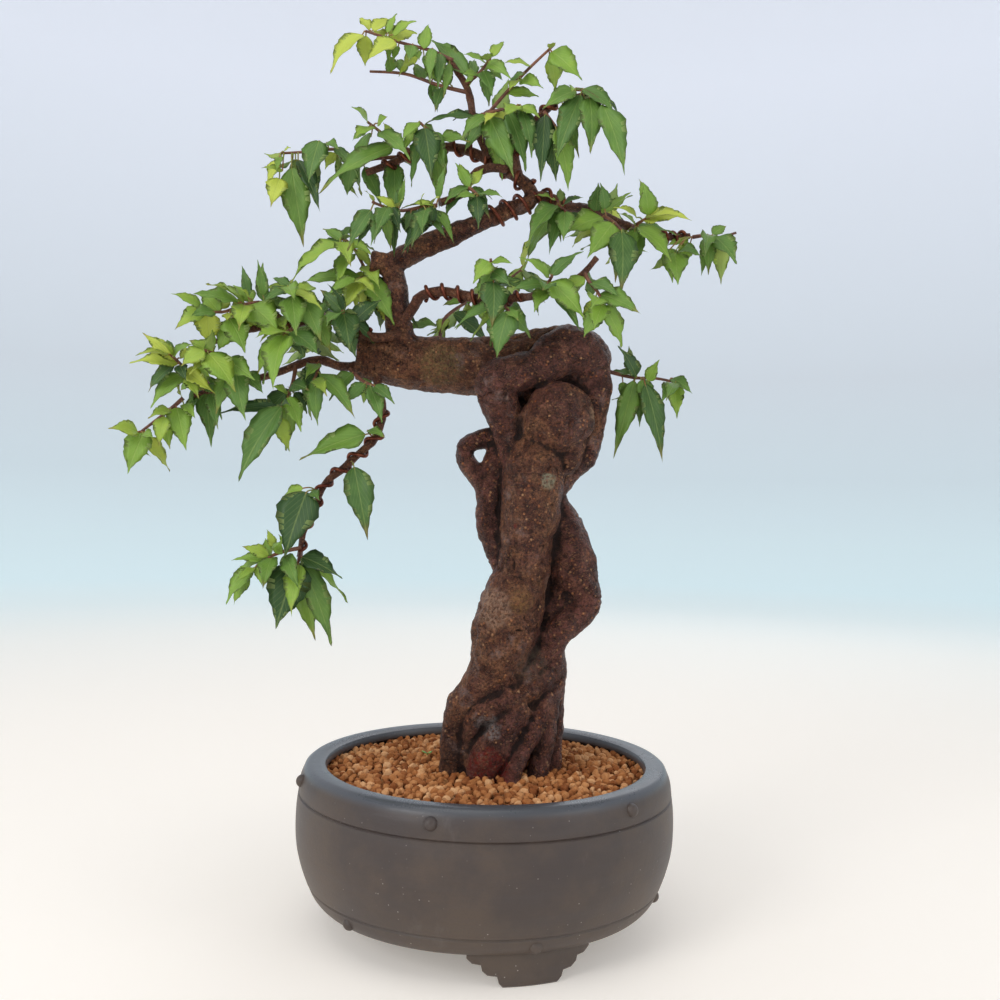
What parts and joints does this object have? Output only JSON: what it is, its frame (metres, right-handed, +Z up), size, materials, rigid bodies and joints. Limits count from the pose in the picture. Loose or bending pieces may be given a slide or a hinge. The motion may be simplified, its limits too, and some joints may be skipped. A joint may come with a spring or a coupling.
{
  "type": "bonsai tree in a pot",
  "caption": "Broadleaf bonsai with a braided root trunk, wired branches and hanging pointed leaves, standing in a round turned stoneware pot on cloud feet.",
  "frame": {"origin": "centre of the whole part's bounding box, on the plane of the undersides of the pot's three feet", "axes": "+Z up, along the height of the tree; +Y points away from the front of the tree; +X is to the right as seen from the front"},
  "size_m": [0.4056, 0.25, 0.6],
  "materials": {
    "stoneware_pot": "unglazed dark grey-brown stoneware, matte, finely speckled, with a smoother bluish rim and pale mineral smears",
    "akadama_soil": "orange-tan baked clay granules of 3 to 7 mm, dry and matte",
    "plastic_mesh": "black moulded plastic mesh",
    "trunk_bark": "smooth living bark, purple-brown to ochre, densely speckled with pale lenticels, ringed and lightly glossy",
    "branch_bark": "thin dark reddish-brown bark with fine pale lenticels",
    "training_wire": "copper-brown anodised aluminium wire, satin",
    "leaf": "thin pointed serrated leaves, yellow-green to dark green, softly glossy above and pale grey-green below"
  },
  "bodies": {
    "root": {"apex_branch": "branch_bark", "apex_inner_shoot": "leaf", "apex_tip_shoot": "leaf", "back_left_shoot": "leaf", "back_right_shoot": "leaf", "back_shoot": "leaf", "back_top_shoot": "leaf", "cascade_branch": "branch_bark", "cascade_tip_shoot": "leaf", "cascade_wire": "training_wire", "cascade_young_shoot": "leaf", "drainage_mesh": "plastic_mesh", "green_twig_shoot": "leaf", "left_bottom_shoot": "leaf", "left_end_branch": "branch_bark", "left_end_tip_shoot": "leaf", "left_front_shoot": "leaf", "left_hanging_shoot": "leaf", "left_heart_shoot": "leaf", "left_inner_lower_shoot": "leaf", "left_lower_branch": "branch_bark", "left_lower_wire": "training_wire", "left_outer_shoot": "leaf", "left_shoulder_shoot": "leaf", "left_tip_shoot": "leaf", "left_top_shoot": "leaf", "left_upper_shoot": "leaf", "left_wired_inner_shoot": "leaf", "left_wired_twig_shoot": "leaf", "limb_end_shoot": "leaf", "limb_under_shoot": "leaf", "lower_right_branch": "branch_bark", "lower_right_front_shoot": "leaf", "lower_right_inner_shoot": "leaf", "lower_right_middle_shoot": "leaf", "lower_right_tip_shoot": "leaf", "lower_right_wire": "training_wire", "middle_left_base_shoot": "leaf", "middle_left_branch": "branch_bark", "middle_left_tip_shoot": "leaf", "pot": "stoneware_pot", "right_branch": "branch_bark", "right_inner_shoot": "leaf", "right_low_shoot": "leaf", "right_middle_shoot": "leaf", "right_outer_shoot": "leaf", "right_tip_shoot": "leaf", "right_tip_wire": "training_wire", "right_wire": "training_wire", "soil": "akadama_soil", "top_right_shoot": "leaf", "trunk": "trunk_bark", "upper_centre_shoot": "leaf", "upper_left_branch": "branch_bark", "upper_left_wire": "training_wire", "upper_right_branch": "branch_bark", "upper_right_hanging_shoot": "leaf", "upper_right_shoot": "leaf", "upper_right_wire": "training_wire"}
  },
  "joints": []
}
